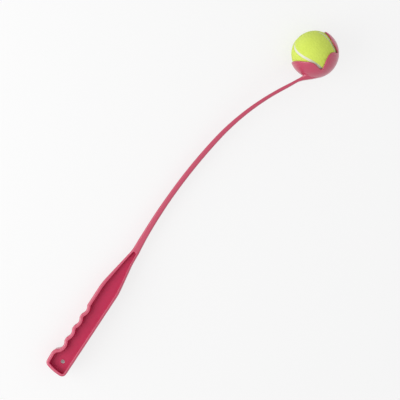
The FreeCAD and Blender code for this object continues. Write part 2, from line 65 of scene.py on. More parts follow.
# %% The plane of the bend
HANG_ALONG, HANG_OUT = 14.8, -2.7
hang_hole = next(mount for mount in frame["record"]["mounts"] if mount["name"] == "hang_hole")
SQUARE = np.array(hang_hole["axis"]) / np.linalg.norm(hang_hole["axis"])
ALONG = np.cross([0.0, 1.0, 0.0], SQUARE)
ALONG /= np.linalg.norm(ALONG)
ACROSS = np.cross(SQUARE, ALONG)
PLAN = np.stack([ALONG, ACROSS, SQUARE])
PLAN_ORIGIN = np.array(hang_hole["pos_m"]) - np.array([HANG_ALONG, HANG_OUT, 0.0]) * MM @ PLAN


def from_plan(points):
    """Turns rows of (along, across, square) in millimetres into the frame's x, y, z in metres: each
    number times its axis, added to the plan's origin."""
    return PLAN_ORIGIN + np.asarray(points, float) * MM @ PLAN


felt_boxes = [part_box(node) for node in ("felt_panel_a", "felt_panel_b")]
ball_low = np.min([np.array(low) for low, high in felt_boxes], axis=0)
ball_high = np.max([np.array(high) for low, high in felt_boxes], axis=0)
BALL_RADIUS = (ball_high - ball_low).max() / 2 / MM
BALL_CENTRE = ((ball_low + ball_high) / 2 - PLAN_ORIGIN) @ PLAN.T / MM
print("ball: radius", round(float(BALL_RADIUS), 2), "mm, centre in the plan", BALL_CENTRE.round(2))

# %% [markdown]
# Every piece is a skin of four-sided faces over grids of points. A grid is an array with a row and a
# column direction, so its faces follow from the numbering alone. Sheets of one piece meet on shared
# points, which are welded here, and the faces are then all turned outwards.

# %% From grids to a mesh
WELD = 0.0005 * MM


def grid_faces(rows, columns, first=0):
    """The four corners of each face between neighbouring rows and columns, numbered row by row."""
    place = first + np.arange(rows * columns).reshape(rows, columns)
    corners = [place[:-1, :-1], place[:-1, 1:], place[1:, 1:], place[1:, :-1]]
    return np.stack(corners, axis=-1).reshape(-1, 4)


def placed(name, data):
    """A new object with this data, in the scene."""
    item = bpy.data.objects.new(name, data)
    bpy.context.scene.collection.objects.link(item)
    return item


def skin(name, sheets):
    """An object whose mesh is all the sheets, given in plan coordinates, welded into one closed skin."""
    points, faces, count = [], [], 0
    for sheet in sheets:
        rows, columns = sheet.shape[:2]
        faces.append(grid_faces(rows, columns, count))
        points.append(sheet.reshape(-1, 3))
        count += rows * columns
    mesh = bpy.data.meshes.new(name)
    mesh.from_pydata(from_plan(np.vstack(points)), [], np.vstack(faces).tolist())
    form = bmesh.new()
    form.from_mesh(mesh)
    bmesh.ops.remove_doubles(form, verts=form.verts, dist=WELD)
    bmesh.ops.recalc_face_normals(form, faces=form.faces)
    form.to_mesh(mesh)
    open_edges = sum(not edge.is_manifold for edge in form.edges)
    volume = form.calc_volume(signed=True) / MM ** 3
    form.free()
    print(f"{name}: {len(mesh.polygons)} faces, {volume / 1000:.2f} cm3, {open_edges} open edges")
    return placed(name, mesh)


def mirrored(sheets):
    """The sheets and their mirror images about the plane of the bend."""
    return [*sheets, *(sheet * np.array([1.0, 1.0, -1.0]) for sheet in sheets)]


def unit(vectors):
    """Vectors divided by their lengths."""
    return vectors / np.linalg.norm(vectors, axis=-1, keepdims=True)


def smooth(values, window):
    """A moving average over this many samples, whose ends run on as they started."""
    weights = np.hanning(window + 2)[1:-1]
    padded = np.pad(values, window // 2, mode="reflect", reflect_type="odd")
    return np.convolve(padded, weights / weights.sum(), mode="valid")[:len(values)]


# %% [markdown]
# The outline of the grip starts as straight lines and circles, and a mould maker rounds its corners with
# a cutter. A rolling disc does the same with numbers. Rolled under a line, its centre draws the line
# moved in by the disc's radius, with no loop at tight corners, and rolled back over that, it gives the
# line with every sharp crest rounded. The same trick later moves the outline in for the rim of the tray.

# %% The rolling disc
STEP = 0.1


def under(line, radius):
    """The heights that a disc's centre reaches as it rolls under a line sampled at every STEP: the
    lowest, over the places that it could touch, of the line less the disc's height there."""
    reach = int(radius / STEP)
    shifts = np.arange(-reach, reach + 1)
    padded = np.pad(line, reach, mode="reflect", reflect_type="odd")
    lift = np.sqrt(np.maximum(radius ** 2 - (shifts * STEP) ** 2, 0.0))
    return np.min([padded[reach + k:reach + k + len(line)] - up for k, up in zip(shifts, lift)], axis=0)


def over(line, radius):
    """The same, rolled on top of the line."""
    return -under(-line, radius)


def rounded_crests(line, radius):
    """The line with its crests rounded: the disc rolls under it, and back over its centre's path."""
    return over(under(line, radius), radius)


def rounded_hollows(line, radius):
    """The line with its hollows rounded: the disc rolls on top of it, and back under the path."""
    return under(over(line, radius), radius)


# %% [markdown]
# The arm's centre line is two arcs in a row, a long bow and a tighter crook, which is all that the curve
# of the real arm needs. Its thickness in the plan falls from the root to the tip.

# %% The arm's line
ROOT, ROOT_ANGLE = np.array([207.0, 19.65]), 11.5
BOW_RADIUS, BOW_TURN = 828.0, 14.1
CROOK_RADIUS, CROOK_TURN = 362.0, 24.7
BOW_LENGTH = BOW_RADIUS * math.radians(BOW_TURN)
CROOK_LENGTH = CROOK_RADIUS * math.radians(CROOK_TURN)
ARM_LENGTH = BOW_LENGTH + CROOK_LENGTH
ARM_PLACES = [0.0, 0.08, 0.26, 0.43, 0.57, 0.71, 0.86, 1.0]
ARM_THICK = [11.2, 9.3, 7.9, 7.7, 7.3, 6.1, 5.0, 4.9]
THICK_SAMPLES, THICK_WINDOW = 1001, 81
ARM_STEP = 0.5
ROOT_WIDE, TIP_WIDE = 15.0, 12.5


def square_to(bend):
    """The direction across a line with this bend: minus its sine, and its cosine."""
    return np.stack([-np.sin(bend), np.cos(bend)], axis=-1)


def arm_line(run):
    """The centre, the bend and the direction across, at lengths along the arm. On an arc the bend falls
    evenly, and the place is the arc's start plus its radius times the change of the direction across."""
    bends = np.radians([ROOT_ANGLE, ROOT_ANGLE - BOW_TURN, ROOT_ANGLE - BOW_TURN - CROOK_TURN])
    bend = np.interp(run, [0, BOW_LENGTH, ARM_LENGTH], bends)
    joint = ROOT + BOW_RADIUS * (square_to(bends[1]) - square_to(bends[0]))
    on_bow = ROOT + BOW_RADIUS * (square_to(bend) - square_to(bends[0]))
    on_crook = joint + CROOK_RADIUS * (square_to(bend) - square_to(bends[1]))
    return np.where((run < BOW_LENGTH)[:, None], on_bow, on_crook), bend, square_to(bend)


def arm_thick(run):
    """The arm's thickness in the plan: straight stretches between its stations, averaged smooth."""
    fine = np.linspace(0, 1, THICK_SAMPLES)
    return np.interp(run / ARM_LENGTH, fine, smooth(np.interp(fine, ARM_PLACES, ARM_THICK), THICK_WINDOW))


arm_run = np.arange(0.0, ARM_LENGTH, ARM_STEP)
centres, _, squares = arm_line(arm_run)
ARM_FRONT = centres + squares * arm_thick(arm_run)[:, None] / 2
ARM_BACK = centres - squares * arm_thick(arm_run)[:, None] / 2
print("arm:", round(ARM_LENGTH, 1), "mm long, ends at", centres[-1].round(1))

# %% [markdown]
# The two long outlines of the grip and the arm are read off as heights over the plan's along axis. The
# front has the heel behind the first finger, four finger grooves and the shoulder where the palm ends.
# The grooves are circles cut out of a straight line, and everything else is straight until the disc has
# rolled over it.

# %% Front and back outlines
BUTT, BUTT_BACK, BUTT_FRONT = -1.2, -19.2, 15.8
FIRST_GROOVE, GROOVE_CENTRE, GROOVE_RADIUS, GROOVE_PITCH, GROOVES = 33.2, 22.99, 11.0, 20.4, 4
SLOPE = math.radians(7.3)
FRONT_CORNERS = [(BUTT, BUTT_FRONT), (17.0, 19.0), (33.2, 14.62), (141.5, 28.5), (205.88, 25.14)]
BACK_CORNERS = [(BUTT, BUTT_BACK), (143.0, -2.0), (190.0, 11.0), (208.12, 14.16)]
CREST_ROUND, LONG_ROUND, ROOT_ROUND = 4.8, 90.0, 60.0
LONG_FROM = 125.0

along = np.arange(BUTT, ARM_FRONT[-1, 0], STEP)
front = np.interp(along, *np.vstack([FRONT_CORNERS, ARM_FRONT[1:]]).T)
back = np.interp(along, *np.vstack([BACK_CORNERS, ARM_BACK[1:]]).T)
for n in range(GROOVES):
    from_middle = along - FIRST_GROOVE - n * GROOVE_PITCH * math.cos(SLOPE)
    inside = np.sqrt(np.maximum(GROOVE_RADIUS ** 2 - from_middle ** 2, 0.0))
    groove = GROOVE_CENTRE + n * GROOVE_PITCH * math.sin(SLOPE) - inside
    front = np.where(inside > 0, np.minimum(front, groove), front)
front = np.where(along < LONG_FROM, rounded_crests(front, CREST_ROUND),
                 rounded_hollows(rounded_crests(front, LONG_ROUND), ROOT_ROUND))
back = -rounded_hollows(rounded_crests(-back, LONG_ROUND), ROOT_ROUND)
print("front runs from", front.min().round(1), "to", front.max().round(1), "mm")

# %% [markdown]
# Across the grip, the section goes up the back's side wall, over a rounded edge, along the rim, down
# into the tray and up again at the front. It is a row of columns, each with a depth from the outline and
# a height. In the real mould the tray is what keeps the grip's walls even: a solid grip would shrink and
# sink as it cools. The rim is wider at the front, where the fingers press.

# %% The section's columns
GRIP_HALF, TAPER_FROM, TAPER_RUN = 12.0, 118.0, 83.4
GRIP_EDGE, ARM_EDGE_SHARE = 2.3, 0.36
FLOOR_HALF, LIP_ROUND, DRAFT, FLOOR_ROUND = 1.5, 0.5, 0.4, 1.2
RIM_FRONT, RIM_BACK, RIM_ROOT = 5.1, 3.5, 3.1
WALL_STEPS, EDGE_STEPS, RIM_STEPS, LIP_STEPS, TRAY_STEPS, FOOT_STEPS = 5, 6, 3, 4, 4, 5
OUTSIDE = WALL_STEPS + EDGE_STEPS


def half_height(x):
    """Half the size square to the plan: constant, then an ogee of two parabolas, then slowly less."""
    share = np.clip((x - TAPER_FROM) / TAPER_RUN, 0.0, 1.0)
    ogee = np.where(share < 0.5, 2 * share ** 2, 1 - 2 * (1 - share) ** 2)
    arm = np.interp(x, [ROOT[0], ARM_FRONT[-1, 0]], [ROOT_WIDE / 2, TIP_WIDE / 2])
    return np.where(x < ROOT[0], GRIP_HALF + (ROOT_WIDE / 2 - GRIP_HALF) * ogee, arm)


def quarter(steps):
    """The sine and one less the cosine of the angles in a quarter turn, without its start."""
    angle = np.linspace(0, math.pi / 2, steps + 1)[1:]
    return np.sin(angle), 1 - np.cos(angle)


def shares(steps):
    """Even shares up to 1, without the 0."""
    return np.linspace(0, 1, steps + 1)[1:]


def section_depth(rim, edge=GRIP_EDGE):
    """Depth of each column from the outline: wall, edge, rim, lip, tray wall and foot of the wall."""
    rim, edge = np.broadcast_arrays(np.asarray(rim, float)[..., None], np.asarray(edge, float)[..., None])
    none = np.zeros((*rim.shape[:-1], WALL_STEPS))
    lip, foot = quarter(LIP_STEPS)[0], quarter(FOOT_STEPS)[1]
    return np.concatenate([none, edge * quarter(EDGE_STEPS)[1],
                           edge + (rim - LIP_ROUND - edge) * shares(RIM_STEPS), rim - LIP_ROUND * (1 - lip),
                           rim + DRAFT * shares(TRAY_STEPS), rim + DRAFT + FLOOR_ROUND * foot], axis=-1)


def section_height(half, edge=GRIP_EDGE):
    """Height of each column over the plan, from the middle of the wall to the tray's floor."""
    half, edge = np.broadcast_arrays(np.asarray(half, float)[..., None], np.asarray(edge, float)[..., None])
    below, foot = quarter(LIP_STEPS)[1], quarter(FOOT_STEPS)[0]
    lip_end, foot_start = half - LIP_ROUND, FLOOR_HALF + FLOOR_ROUND
    return np.concatenate([(half - edge) * np.linspace(0, 1, WALL_STEPS),
                           half - edge + edge * quarter(EDGE_STEPS)[0], half + 0 * shares(RIM_STEPS),
                           half - LIP_ROUND * below, lip_end + (foot_start - lip_end) * shares(TRAY_STEPS),
                           foot_start - FLOOR_ROUND * foot + 0 * half], axis=-1)


SIDE = section_depth(RIM_BACK).size
print("columns on each side:", SIDE)

# %% [markdown]
# At the butt the section turns round two corners. Moving an arc inwards only shortens its radius, so
# every ring of columns keeps the same three centres and the same angles.

# %% The butt
BULGE, BUTT_ROUND = 70.0, 7.0
CORNER_STEPS, BULGE_STEPS = 9, 6
middle_y = (BUTT_BACK + BUTT_FRONT) / 2
bulge_centre = np.array([BUTT + math.sqrt(BULGE ** 2 - (BUTT_FRONT - middle_y) ** 2), middle_y])


def corner_centre(start, end, side):
    """The centre that is a corner's radius inside the line and as far inside the bulge: the nearer
    point where a line meets a circle, by the quadratic formula."""
    way = unit(np.subtract(end, start))
    first = np.array(start) + side * BUTT_ROUND * np.array([-way[1], way[0]]) - bulge_centre
    half_b, c = first @ way, first @ first - (BULGE - BUTT_ROUND) ** 2
    return first + way * (-half_b - math.sqrt(half_b ** 2 - c)) + bulge_centre, way


back_corner, back_way = corner_centre(*BACK_CORNERS[:2], 1)
front_corner, front_way = corner_centre(*FRONT_CORNERS[:2], -1)
turn_back = math.atan2(*(back_corner - bulge_centre)[::-1]) % (2 * math.pi)
turn_front = math.atan2(*(front_corner - bulge_centre)[::-1]) % (2 * math.pi)
out_back = math.atan2(-back_way[0], back_way[1]) % (2 * math.pi)
out_front = math.atan2(front_way[0], -front_way[1])
turns = np.concatenate([np.linspace(out_back, turn_back, CORNER_STEPS),
                        np.linspace(turn_back, turn_front, BULGE_STEPS + 2)[1:-1],
                        np.linspace(turn_front, out_front, CORNER_STEPS)])
counts = [CORNER_STEPS, BULGE_STEPS, CORNER_STEPS]
hubs = np.repeat([back_corner, bulge_centre, front_corner], counts, axis=0)
radii = np.repeat([BUTT_ROUND, BULGE, BUTT_ROUND], counts)
ROUND = len(turns)
butt_rim = np.linspace(RIM_BACK, RIM_FRONT, ROUND)
butt_depth = section_depth(butt_rim)
ray = np.stack([np.cos(turns), np.sin(turns)], axis=-1)
butt_plan = hubs[:, None] + (radii[:, None] - butt_depth)[..., None] * ray[:, None]
butt_sheet = np.concatenate([butt_plan, section_height(np.full(ROUND, GRIP_HALF))[..., None]], axis=-1)
print("butt reaches", butt_plan[..., 0].min().round(2), "mm")

# %% [markdown]
# From the butt to the tip of the arm the section stands on lines across the launcher. They are upright in
# the grip, and lean over at the root until they are square to the arm. Each line is cut with both
# outlines by going back and forth between its height and its place a few times, which settles quickly
# because neither is steep.

# %% Grip and arm
FIRST_STATION, NECK_START = 6.0, ARM_LENGTH - 9.0
LEAN_FROM, LEAN_RUN = -17.0, 24.0
NARROW_FROM, NARROW_RUN = -70.0, 60.0
TRAY_END, TRAY_END_ROUND, TRAY_END_RUN = 206.5, 2.4, 3.0
BLEND_FROM, BLEND_RUN = 2.0, 22.0
WAIST_FROM, ROOT_FROM, ARM_FROM = -80.0, -16.0, 22.0
PALM_STEP, WAIST_STEP, ROOT_STEP, ARM_STATIONS = 0.8, 2.0, 0.4, 90
MEETING_ROUNDS, FLOOR_ROWS = 12, 6
grip_start = (FIRST_STATION - ROOT[0]) / math.cos(math.radians(ROOT_ANGLE))
run = np.concatenate([np.arange(grip_start, WAIST_FROM, PALM_STEP),
                      np.arange(WAIST_FROM, ROOT_FROM, WAIST_STEP),
                      np.arange(ROOT_FROM, ARM_FROM, ROOT_STEP),
                      np.linspace(ARM_FROM, NECK_START, ARM_STATIONS)])


def ease(share):
    """A step that starts and ends level: 3 s squared less 2 s cubed."""
    share = np.clip(share, 0.0, 1.0)
    return share * share * (3 - 2 * share)


def meet(line, at, lean):
    """Where leaning lines through these points cut an outline."""
    x = at[:, 0]
    for _ in range(MEETING_ROUNDS):
        y = np.interp(x, along, line)
        x = at[:, 0] - (y - at[:, 1]) * np.tan(lean)
    return np.stack([x, y], axis=-1)


def inward(line, at, lean, depth, sign):
    """How far along the leaning lines the outline lies when it is moved in by this depth: the upright
    distance to the disc's line, turned to the lean by the slope's cosine."""
    moved = sign * under(sign * line, depth) if depth > 0 else line
    slope = np.arctan(np.interp(at[:, 0], along, np.gradient(line, STEP)))
    upright = sign * (np.interp(at[:, 0], along, line) - np.interp(at[:, 0], along, moved))
    return upright * np.cos(slope) / np.cos(slope - lean)


at, bend, _ = arm_line(np.maximum(run, 0.0))
at = at + np.minimum(run, 0.0)[:, None] * np.array([math.cos(bend[0]), math.sin(bend[0])])
lean = bend * ease((run - LEAN_FROM) / LEAN_RUN)
on_back, on_front = meet(back, at, lean), meet(front, at, lean)
thick = np.linalg.norm(on_front - on_back, axis=1)
narrowing = ease((run - NARROW_FROM) / NARROW_RUN)[:, None]


def column_places(line, spots, rim, sign):
    """How far in from an outline each column of its side lies. The rim narrows towards the root."""
    palm, root = [np.stack([inward(line, spots, lean, depth, sign) for depth in section_depth(width)],
                           axis=1) for width in (rim, RIM_ROOT)]
    return palm + (root - palm) * narrowing


from_back = column_places(back, on_back, RIM_BACK, -1)
from_front = thick[:, None] - column_places(front, on_front, RIM_FRONT, 1)[:, ::-1]
inner = from_back[:, -1:] + (from_front[:, :1] - from_back[:, -1:]) * np.linspace(0, 1, ROUND + 2)[1:-1]
place = np.concatenate([from_back, inner, from_front], axis=1)

edge = np.minimum(GRIP_EDGE, ARM_EDGE_SHARE * thick)
outside = section_depth(np.full(len(run), RIM_BACK), edge)[:, :OUTSIDE]
between = np.linspace(0, 1, place.shape[1] - 2 * OUTSIDE + 2)[1:-1]
even = edge[:, None] + (thick - 2 * edge)[:, None] * between
slim = np.concatenate([outside, even, thick[:, None] - outside[:, ::-1]], axis=1)
place = place + (slim - place) * ease((run - BLEND_FROM) / BLEND_RUN)[:, None]

body_plan = on_back[:, None] + (on_front - on_back)[:, None] * (place / thick[:, None])[..., None]
half = half_height(body_plan[..., 0])
height = section_height(half, np.broadcast_to(edge[:, None], half.shape))
columns = np.concatenate([np.arange(SIDE), np.full(ROUND, SIDE - 1), np.arange(SIDE)[::-1]])
height = np.take_along_axis(height, np.broadcast_to(columns, half.shape)[..., None], axis=2)[..., 0]
first_inside = OUTSIDE + RIM_STEPS + LIP_STEPS
opening = place[:, [first_inside, -first_inside - 1]]
off_middle = np.abs(place - opening.mean(axis=1)[:, None])
aside = np.clip(off_middle / np.ptp(opening, axis=1)[:, None] * 2, 0.0, 1.0)
tray_end = TRAY_END - TRAY_END_ROUND * (1 - np.sqrt(1 - aside ** 2))
open_share = ease((tray_end - body_plan[..., 0]) / TRAY_END_RUN)
inside_rim = columns >= OUTSIDE
height = np.where(inside_rim, half - (half - height) * open_share, height)
body_sheet = np.concatenate([body_plan, height[..., None]], axis=-1)

first_row = body_sheet[0]
butt_sheet = np.concatenate([first_row[None, :SIDE], butt_sheet, first_row[None, ::-1][:, :SIDE]])
floor_line, floor_ring = first_row[SIDE - 1:SIDE + ROUND + 1], butt_sheet[:, -1]
floor_sheet = floor_ring + (floor_line - floor_ring) * np.linspace(0, 1, FLOOR_ROWS)[:, None, None]
print(len(run), "stations of", body_sheet.shape[1], "columns")

# %% [markdown]
# The neck flares from the arm's last ring onto the cup. Each of its lines is a cubic that leaves along
# the arm and lands on the cup while it spreads outwards and dives a little, which is what gives the
# moulding its soft fillet there. The neck ends inside the cup's wall, closed by a patch of the same
# sphere, so that both can be fused into one skin.

# %% Neck
CUP_INNER, CUP_OUTER = 33.8, 36.1
LANDING = 35.2
FOOT_MIDDLE, FOOT_TURN, FOOT_WIDE = math.radians(215.5), math.radians(22.5), 11.0
DIVE = math.radians(9.0)
FRONT_PULL, BACK_PULL = 0.4, 1.0
NECK_ROWS, PATCH_ROWS = 25, 7
cup_centre = np.array([BALL_CENTRE[0], BALL_CENTRE[1], 0.0])


def on_cup(turn, rise, radius):
    """Points on a sphere round the cup's centre, by the turn in the plan and the height over it."""
    flat = np.sqrt(radius ** 2 - rise ** 2)
    return cup_centre + np.stack([flat * np.cos(turn), flat * np.sin(turn), rise], axis=-1)


upper = body_sheet[-1]
ring = np.concatenate([upper, upper[::-1] * np.array([1.0, 1.0, -1.0])])
out = 2 * place[-1] / thick[-1] - 1
out, rise = np.concatenate([out, out[::-1]]), ring[:, 2] / half[-1].mean()
landing = on_cup(FOOT_MIDDLE - out * FOOT_TURN, rise * FOOT_WIDE, LANDING)
middle = on_cup(np.array([FOOT_MIDDLE]), np.array([0.0]), LANDING)
normal = unit(landing - cup_centre)
spread = landing - middle
spread = unit(spread - np.sum(spread * normal, axis=1, keepdims=True) * normal)
chord = np.linalg.norm(landing - ring, axis=1, keepdims=True)
leave = chord * np.array([math.cos(lean[-1]), math.sin(lean[-1]), 0.0])
pull = np.interp(out, [-1, 1], [BACK_PULL, FRONT_PULL])[:, None]
arrive = chord * pull * (spread * math.cos(DIVE) - normal * math.sin(DIVE))
s = np.linspace(0, 1, NECK_ROWS)[:, None, None]
neck_sheet = ((2 * s ** 3 - 3 * s ** 2 + 1) * ring + (s ** 3 - 2 * s ** 2 + s) * leave
              + (3 * s ** 2 - 2 * s ** 3) * landing + (s ** 3 - s ** 2) * arrive)
share_in = np.linspace(1, 0, PATCH_ROWS)[:, None]
patch_sheet = on_cup(FOOT_MIDDLE - share_in * out * FOOT_TURN, share_in * rise * FOOT_WIDE, LANDING)
moulding = skin("moulding", [*mirrored([body_sheet, butt_sheet, floor_sheet]), neck_sheet, patch_sheet])

# %% [markdown]
# The cup is a thin part of a sphere: two long fingers and a low lobe on each side, with notches between
# them that let the fingers spread when the ball is picked up. Its rim is a closed curve through a few
# directions, each a turn round the opening and a drop from its axis, in degrees. The curve is a cubic
# spline, the line that a thin springy batten would take.

# %% The rim of the cup
OPENING = math.radians(82.9)
RIM_SIDE = [(36, 77), (54, 92), (65, 111), (65, 134), (82.8, 129.1), (109, 118.4), (131, 122), (149, 129),
            (143.5, 108), (146.5, 92), (157, 76)]
TIP_DROP = 68
RIM_SAMPLES = 400
opening_axis = np.array([math.cos(OPENING), math.sin(OPENING), 0.0])
to_arm = np.array([-math.sin(OPENING), math.cos(OPENING), 0.0])
CUP_AXES = np.stack([to_arm, np.array([0.0, 0.0, 1.0]), opening_axis])


def closed_spline(knots, samples):
    """A closed cubic spline through rows of points. Between two knots it bends evenly from one second
    derivative to the next, and those are solved so that the slope has no step at any knot."""
    ahead = np.roll(knots, -1, axis=0)
    gap = np.linalg.norm(ahead - knots, axis=1)
    before = np.roll(gap, 1)
    count = np.arange(len(knots))
    system = np.diag(2 * (gap + before))
    system[count, (count + 1) % len(knots)] += gap
    system[count, count - 1] += before
    slope = (ahead - knots) / gap[:, None]
    second = np.linalg.solve(system, 6 * (slope - np.roll(slope, 1, axis=0)))
    start = np.concatenate([[0.0], np.cumsum(gap)])
    along_it = np.linspace(0, start[-1], samples, endpoint=False)
    n = np.searchsorted(start, along_it, side="right") - 1
    t, left, g = (along_it - start[n])[:, None], (start[n + 1] - along_it)[:, None], gap[n][:, None]
    p, q = second[n], second[(n + 1) % len(knots)]
    return ((p * left ** 3 + q * t ** 3) / (6 * g) + (knots[n] / g - p * g / 6) * left
            + (ahead[n] / g - q * g / 6) * t)


def direction(turn, drop):
    """Directions in the cup's own axes: towards the arm, square to the plan, out of the opening."""
    turn, drop = np.radians(turn), np.radians(drop)
    return np.stack([np.cos(turn) * np.sin(drop), np.sin(turn) * np.sin(drop), np.cos(drop)], axis=-1)


near = direction(*np.array(RIM_SIDE, float).T)
ends = direction(np.array([0.0, 180.0]), np.array([TIP_DROP, TIP_DROP], float))
rim = unit(closed_spline(np.vstack([ends[:1], near, ends[1:], near[::-1] * [1, -1, 1]]), RIM_SAMPLES))

# %% [markdown]
# The wall follows the rim all the way down to the bottom. Straight lines from the bottom's pole would
# cross the hooked notches twice, so the lines start aside and curve into the rim, more where the rim
# runs steeply. The edge itself is half a circle from the outer face to the inner one.

# %% Cup
WALL_HALF, WALL_MIDDLE = (CUP_OUTER - CUP_INNER) / 2, (CUP_OUTER + CUP_INNER) / 2
CUP_ROWS, EDGE_ROWS = 30, 9
SKEW, WINDOW = math.radians(26.0), 41


def round_average(values):
    """A moving average round a closed loop."""
    weights = np.hanning(WINDOW) / np.hanning(WINDOW).sum()
    reach = WINDOW // 2
    return np.convolve(np.concatenate([values[-reach:], values, values[:reach]]), weights, mode="valid")


way = unit(np.roll(rim, -1, axis=0) - np.roll(rim, 1, axis=0))
past_rim = np.cross(way, rim)
past_rim *= np.sign(past_rim[:, 2].sum())
held = unit(WALL_MIDDLE * rim - WALL_HALF * past_rim)
reach = np.arccos(-held[:, 2])
round_it = np.unwrap(np.arctan2(held[:, 1], held[:, 0]))
run_on = np.linalg.norm(np.roll(held, -1, axis=0) - np.roll(held, 1, axis=0), axis=1)
steep = (np.roll(reach, -1) - np.roll(reach, 1)) / run_on
even_turn = np.sign(round_it[-1] - round_it[0]) * np.linspace(0, 2 * math.pi, RIM_SAMPLES, endpoint=False)
start_turn = round_it + SKEW * round_average(steep) * np.sign(even_turn[-1])
start_turn = even_turn + round_average(start_turn - even_turn)
rows = np.sin(np.linspace(0, math.pi / 2, CUP_ROWS))[:, None]
polar, turned = rows * reach, start_turn + (round_it - start_turn) * rows ** 3
wall = np.stack([np.cos(turned) * np.sin(polar), np.sin(turned) * np.sin(polar), -np.cos(polar)], axis=-1)
cross = np.cross(wall[1:] - wall[:-1], np.roll(wall, -1, axis=1)[:-1] - wall[:-1])
facing = np.sum(cross * wall[:-1], axis=-1)[1:]
print("cup cells that face the other way:", min((facing > 0).sum(), (facing < 0).sum()))
sweep = np.linspace(0, math.pi, EDGE_ROWS)[1:-1, None, None]
lip = WALL_MIDDLE * rim + WALL_HALF * (np.cos(sweep) * rim + (np.sin(sweep) - 1) * past_rim)
shell = np.concatenate([CUP_OUTER * wall, lip, CUP_INNER * wall[::-1]])
shell = np.concatenate([shell, shell[:, :1]], axis=1)
cup = skin("cup", [cup_centre + shell @ CUP_AXES])

# %% [markdown]
# Grip, arm, neck and cup leave the mould as one piece, so they are fused into one skin here as well, and
# the hang hole is bored through the tray's floor. The fused faces are smooth, except where two of them
# meet at a real corner. Each point also keeps how far it is inside a tray, for the finish.

# %% Fuse and bore
HOLE_RADIUS, HOLE_SIDES, DRILL_REACH = 3.0, 64, 9.0
SLIVER = 5 * WELD
CORNER_ANGLE = math.radians(38.0)
TRAY_FADE = 1.5


def combined(item, other, operation):
    """The first object's mesh after a boolean with the other, which is then thrown away."""
    step = item.modifiers.new(operation.lower(), "BOOLEAN")
    step.operation, step.object, step.solver = operation, other, "EXACT"
    bpy.context.view_layer.update()
    fused = bpy.data.meshes.new_from_object(item.evaluated_get(bpy.context.evaluated_depsgraph_get()))
    item.modifiers.clear()
    item.data = fused
    bpy.data.objects.remove(other)


turn = np.linspace(0, 2 * math.pi, HOLE_SIDES + 1)
tube = np.stack([HANG_ALONG + HOLE_RADIUS * np.cos(turn), HANG_OUT + HOLE_RADIUS * np.sin(turn)], axis=-1)
axle = np.broadcast_to(np.array([HANG_ALONG, HANG_OUT]), tube.shape)
drill = np.stack([np.column_stack([spot, np.full(len(spot), level)])
                  for spot, level in ((axle, -DRILL_REACH), (tube, -DRILL_REACH),
                                      (tube, DRILL_REACH), (axle, DRILL_REACH))])
combined(moulding, cup, "UNION")
combined(moulding, skin("drill", [drill]), "DIFFERENCE")
form = bmesh.new()
form.from_mesh(moulding.data)
bmesh.ops.dissolve_degenerate(form, edges=form.edges, dist=SLIVER)
form.to_mesh(moulding.data)
print("open edges after fusing:", sum(not edge.is_manifold for edge in form.edges))
form.free()
moulding.data.shade_smooth()
moulding.data.set_sharp_from_angle(angle=CORNER_ANGLE)
on_plan = (np.array([point.co for point in moulding.data.vertices]) - PLAN_ORIGIN) @ PLAN.T / MM
x, y, rise = on_plan.T
from_edge = np.minimum(np.interp(x, along, front) - y - RIM_FRONT, y - np.interp(x, along, back) - RIM_BACK)
from_edge = np.minimum(from_edge, x - BUTT - RIM_BACK)
sunk = np.clip(half_height(x) - np.abs(rise) - 2 * LIP_ROUND, 0.0, 1.0)
in_tray = sunk * np.clip(from_edge + TRAY_FADE, 0.0, 1.0) * (x < TRAY_END)
tray = moulding.data.attributes.new("tray", "FLOAT", "POINT")
tray.data.foreach_set("value", in_tray.astype(np.float32))
print("points in the trays:", int((in_tray > 0.5).sum()))
weighted = moulding.modifiers.new("even_shading", "WEIGHTED_NORMAL")
weighted.keep_sharp = True
triangles = sum(len(face.vertices) - 2 for face in moulding.data.polygons)
print("launcher:", triangles, "triangles,", len(moulding.data.vertices), "points")

# %% [markdown]
# The ball's cloth is two equal dog-bone panels, and their border is one closed curve. With its numbers a
# and b it is x = a cos t + b cos 3t, y = a sin t - b sin 3t, z = 2 sqrt(ab) sin 2t, which lies on a
# sphere. The middle of a panel is a mirror line, so arcs between opposite points of its border sweep over
# it. The cloth is cut a little short of the seam, and its thick edge turns down into it.

# %% The seam's curve
SEAM_B = 0.25
SEAM_TURNS = (-133.3, 50.2, -32.0)
SEAM_HALF, SEAM_SINK, SEAM_HOLLOW = 1.9, 0.85, 0.25
SEAM_RINGS, SEAM_COLUMNS, BORDER_SAMPLES = 481, 13, 600
CLOTH_ASIDE, CLOTH_ROUND, CLOTH_THICK = 1.9, 1.3, 3.1
CLOTH_BASE = BALL_RADIUS - CLOTH_THICK
spin = np.eye(3)
for axis, degrees in zip("XYZ", SEAM_TURNS):
    spin = np.array(Matrix.Rotation(math.radians(degrees), 3, axis)) @ spin


def seam(t, aside=0.0):
    """Unit directions of the seam's curve, moved aside along the sphere by this many millimetres."""
    a, b, c = 1 - SEAM_B, SEAM_B, 2 * math.sqrt(SEAM_B * (1 - SEAM_B))
    here = np.stack([a * np.cos(t) + b * np.cos(3 * t), a * np.sin(t) - b * np.sin(3 * t),
                     c * np.sin(2 * t)], axis=-1)
    way = np.stack([-a * np.sin(t) - 3 * b * np.sin(3 * t), a * np.cos(t) - 3 * b * np.cos(3 * t),
                    2 * c * np.cos(2 * t)], axis=-1)
    return unit(here + unit(np.cross(here, way)) * (aside / BALL_RADIUS))


def ball_points(rays, radius):
    """Directions in the seam's own axes, times a radius, as points in the plan."""
    return BALL_CENTRE + (rays * np.asarray(radius)[..., None]) @ spin.T


# %% [markdown]
# Felt is never smooth. Here a sum of slow waves in random directions lifts and lowers the nap by a tenth of
# a millimetre or so, and thousands of short hairs stand out of it. Each hair is a thin closed spike with
# a lean of its own. The random numbers start from a fixed seed, so the ball is the same each time.

